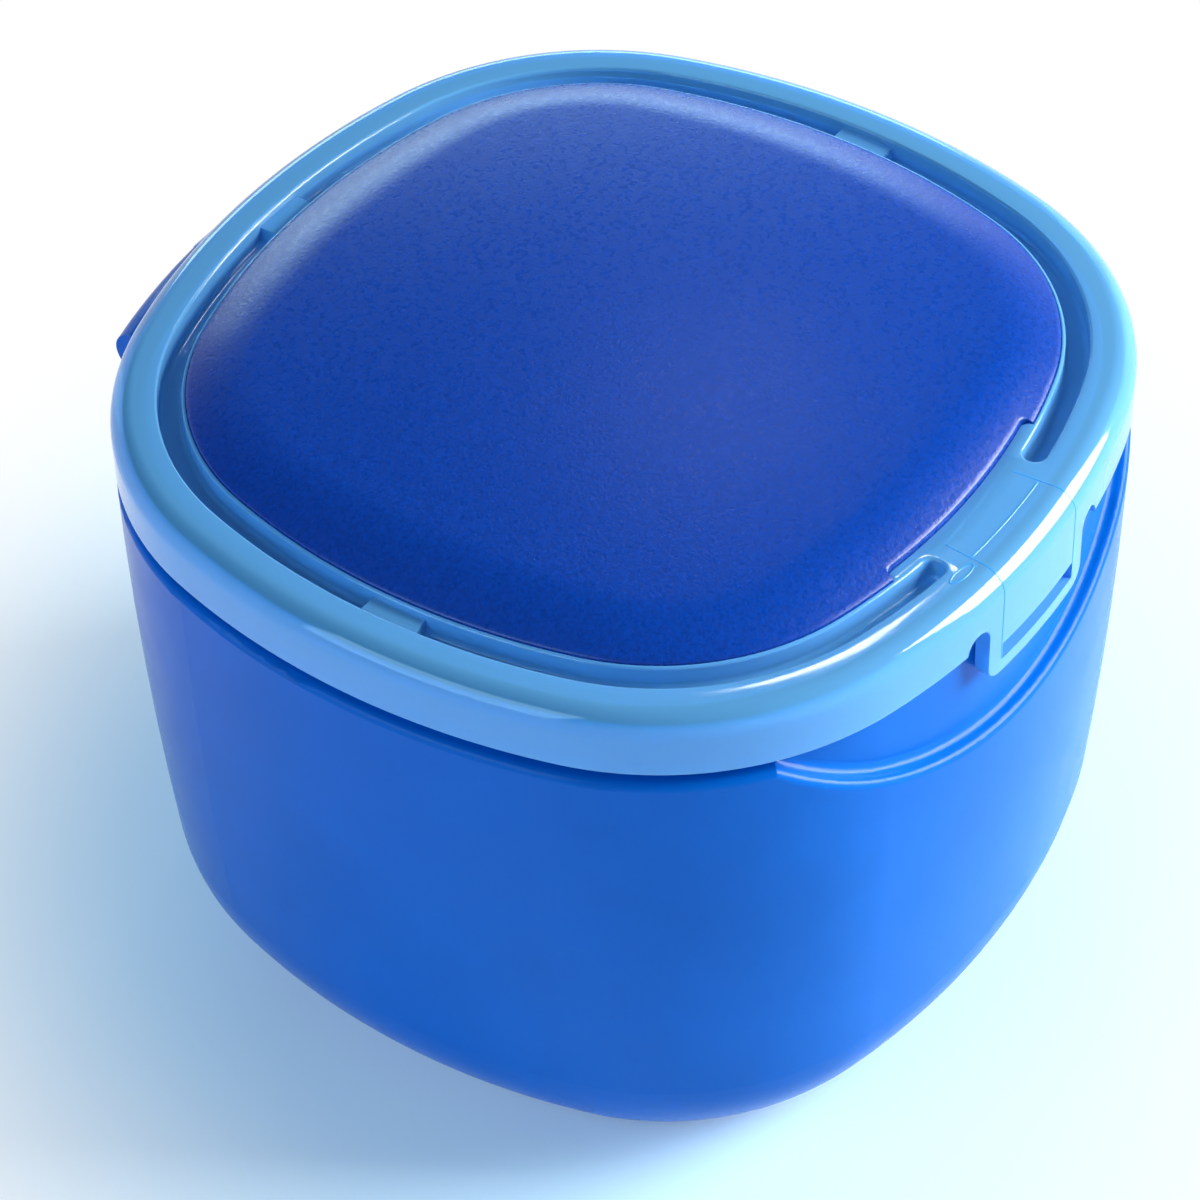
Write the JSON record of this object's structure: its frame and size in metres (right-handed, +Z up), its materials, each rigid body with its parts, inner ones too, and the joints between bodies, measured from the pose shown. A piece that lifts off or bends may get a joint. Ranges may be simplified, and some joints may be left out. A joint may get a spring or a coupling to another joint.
{
  "type": "denture case",
  "caption": "Deep rounded-square denture bath with a hinged clear lid, crowned grained panel, snap latch tab, thumb scoop and a lift-out strainer basket.",
  "frame": {"origin": "centre of the base ring, on the surface the case stands on", "axes": "+Z up, -Y towards the latch and thumb scoop, +Y towards the hinge"},
  "size_m": [0.092, 0.0959, 0.0712],
  "materials": {
    "body_plastic": "satin moulded, slightly translucent",
    "clear_plastic": "clear pale blue, polished",
    "panel_plastic": "fine grain",
    "seal_rubber": "satin",
    "pin_steel": "drawn wire",
    "basket_plastic": "satin moulded"
  },
  "bodies": {
    "case": {"case_body": "body_plastic", "hinge_pin": "pin_steel", "strainer_basket": "basket_plastic"},
    "lid": {"lid_frame": "clear_plastic", "lid_panel": "panel_plastic", "lid_seal": "seal_rubber"}
  },
  "joints": [
    {"name": "lid_hinge", "type": "hinge", "parent": "case", "child": "lid", "pos_m": [0, 0.0475, 0.0594], "axis": [-1, 0, 0], "range_deg": [0, 110]}
  ]
}
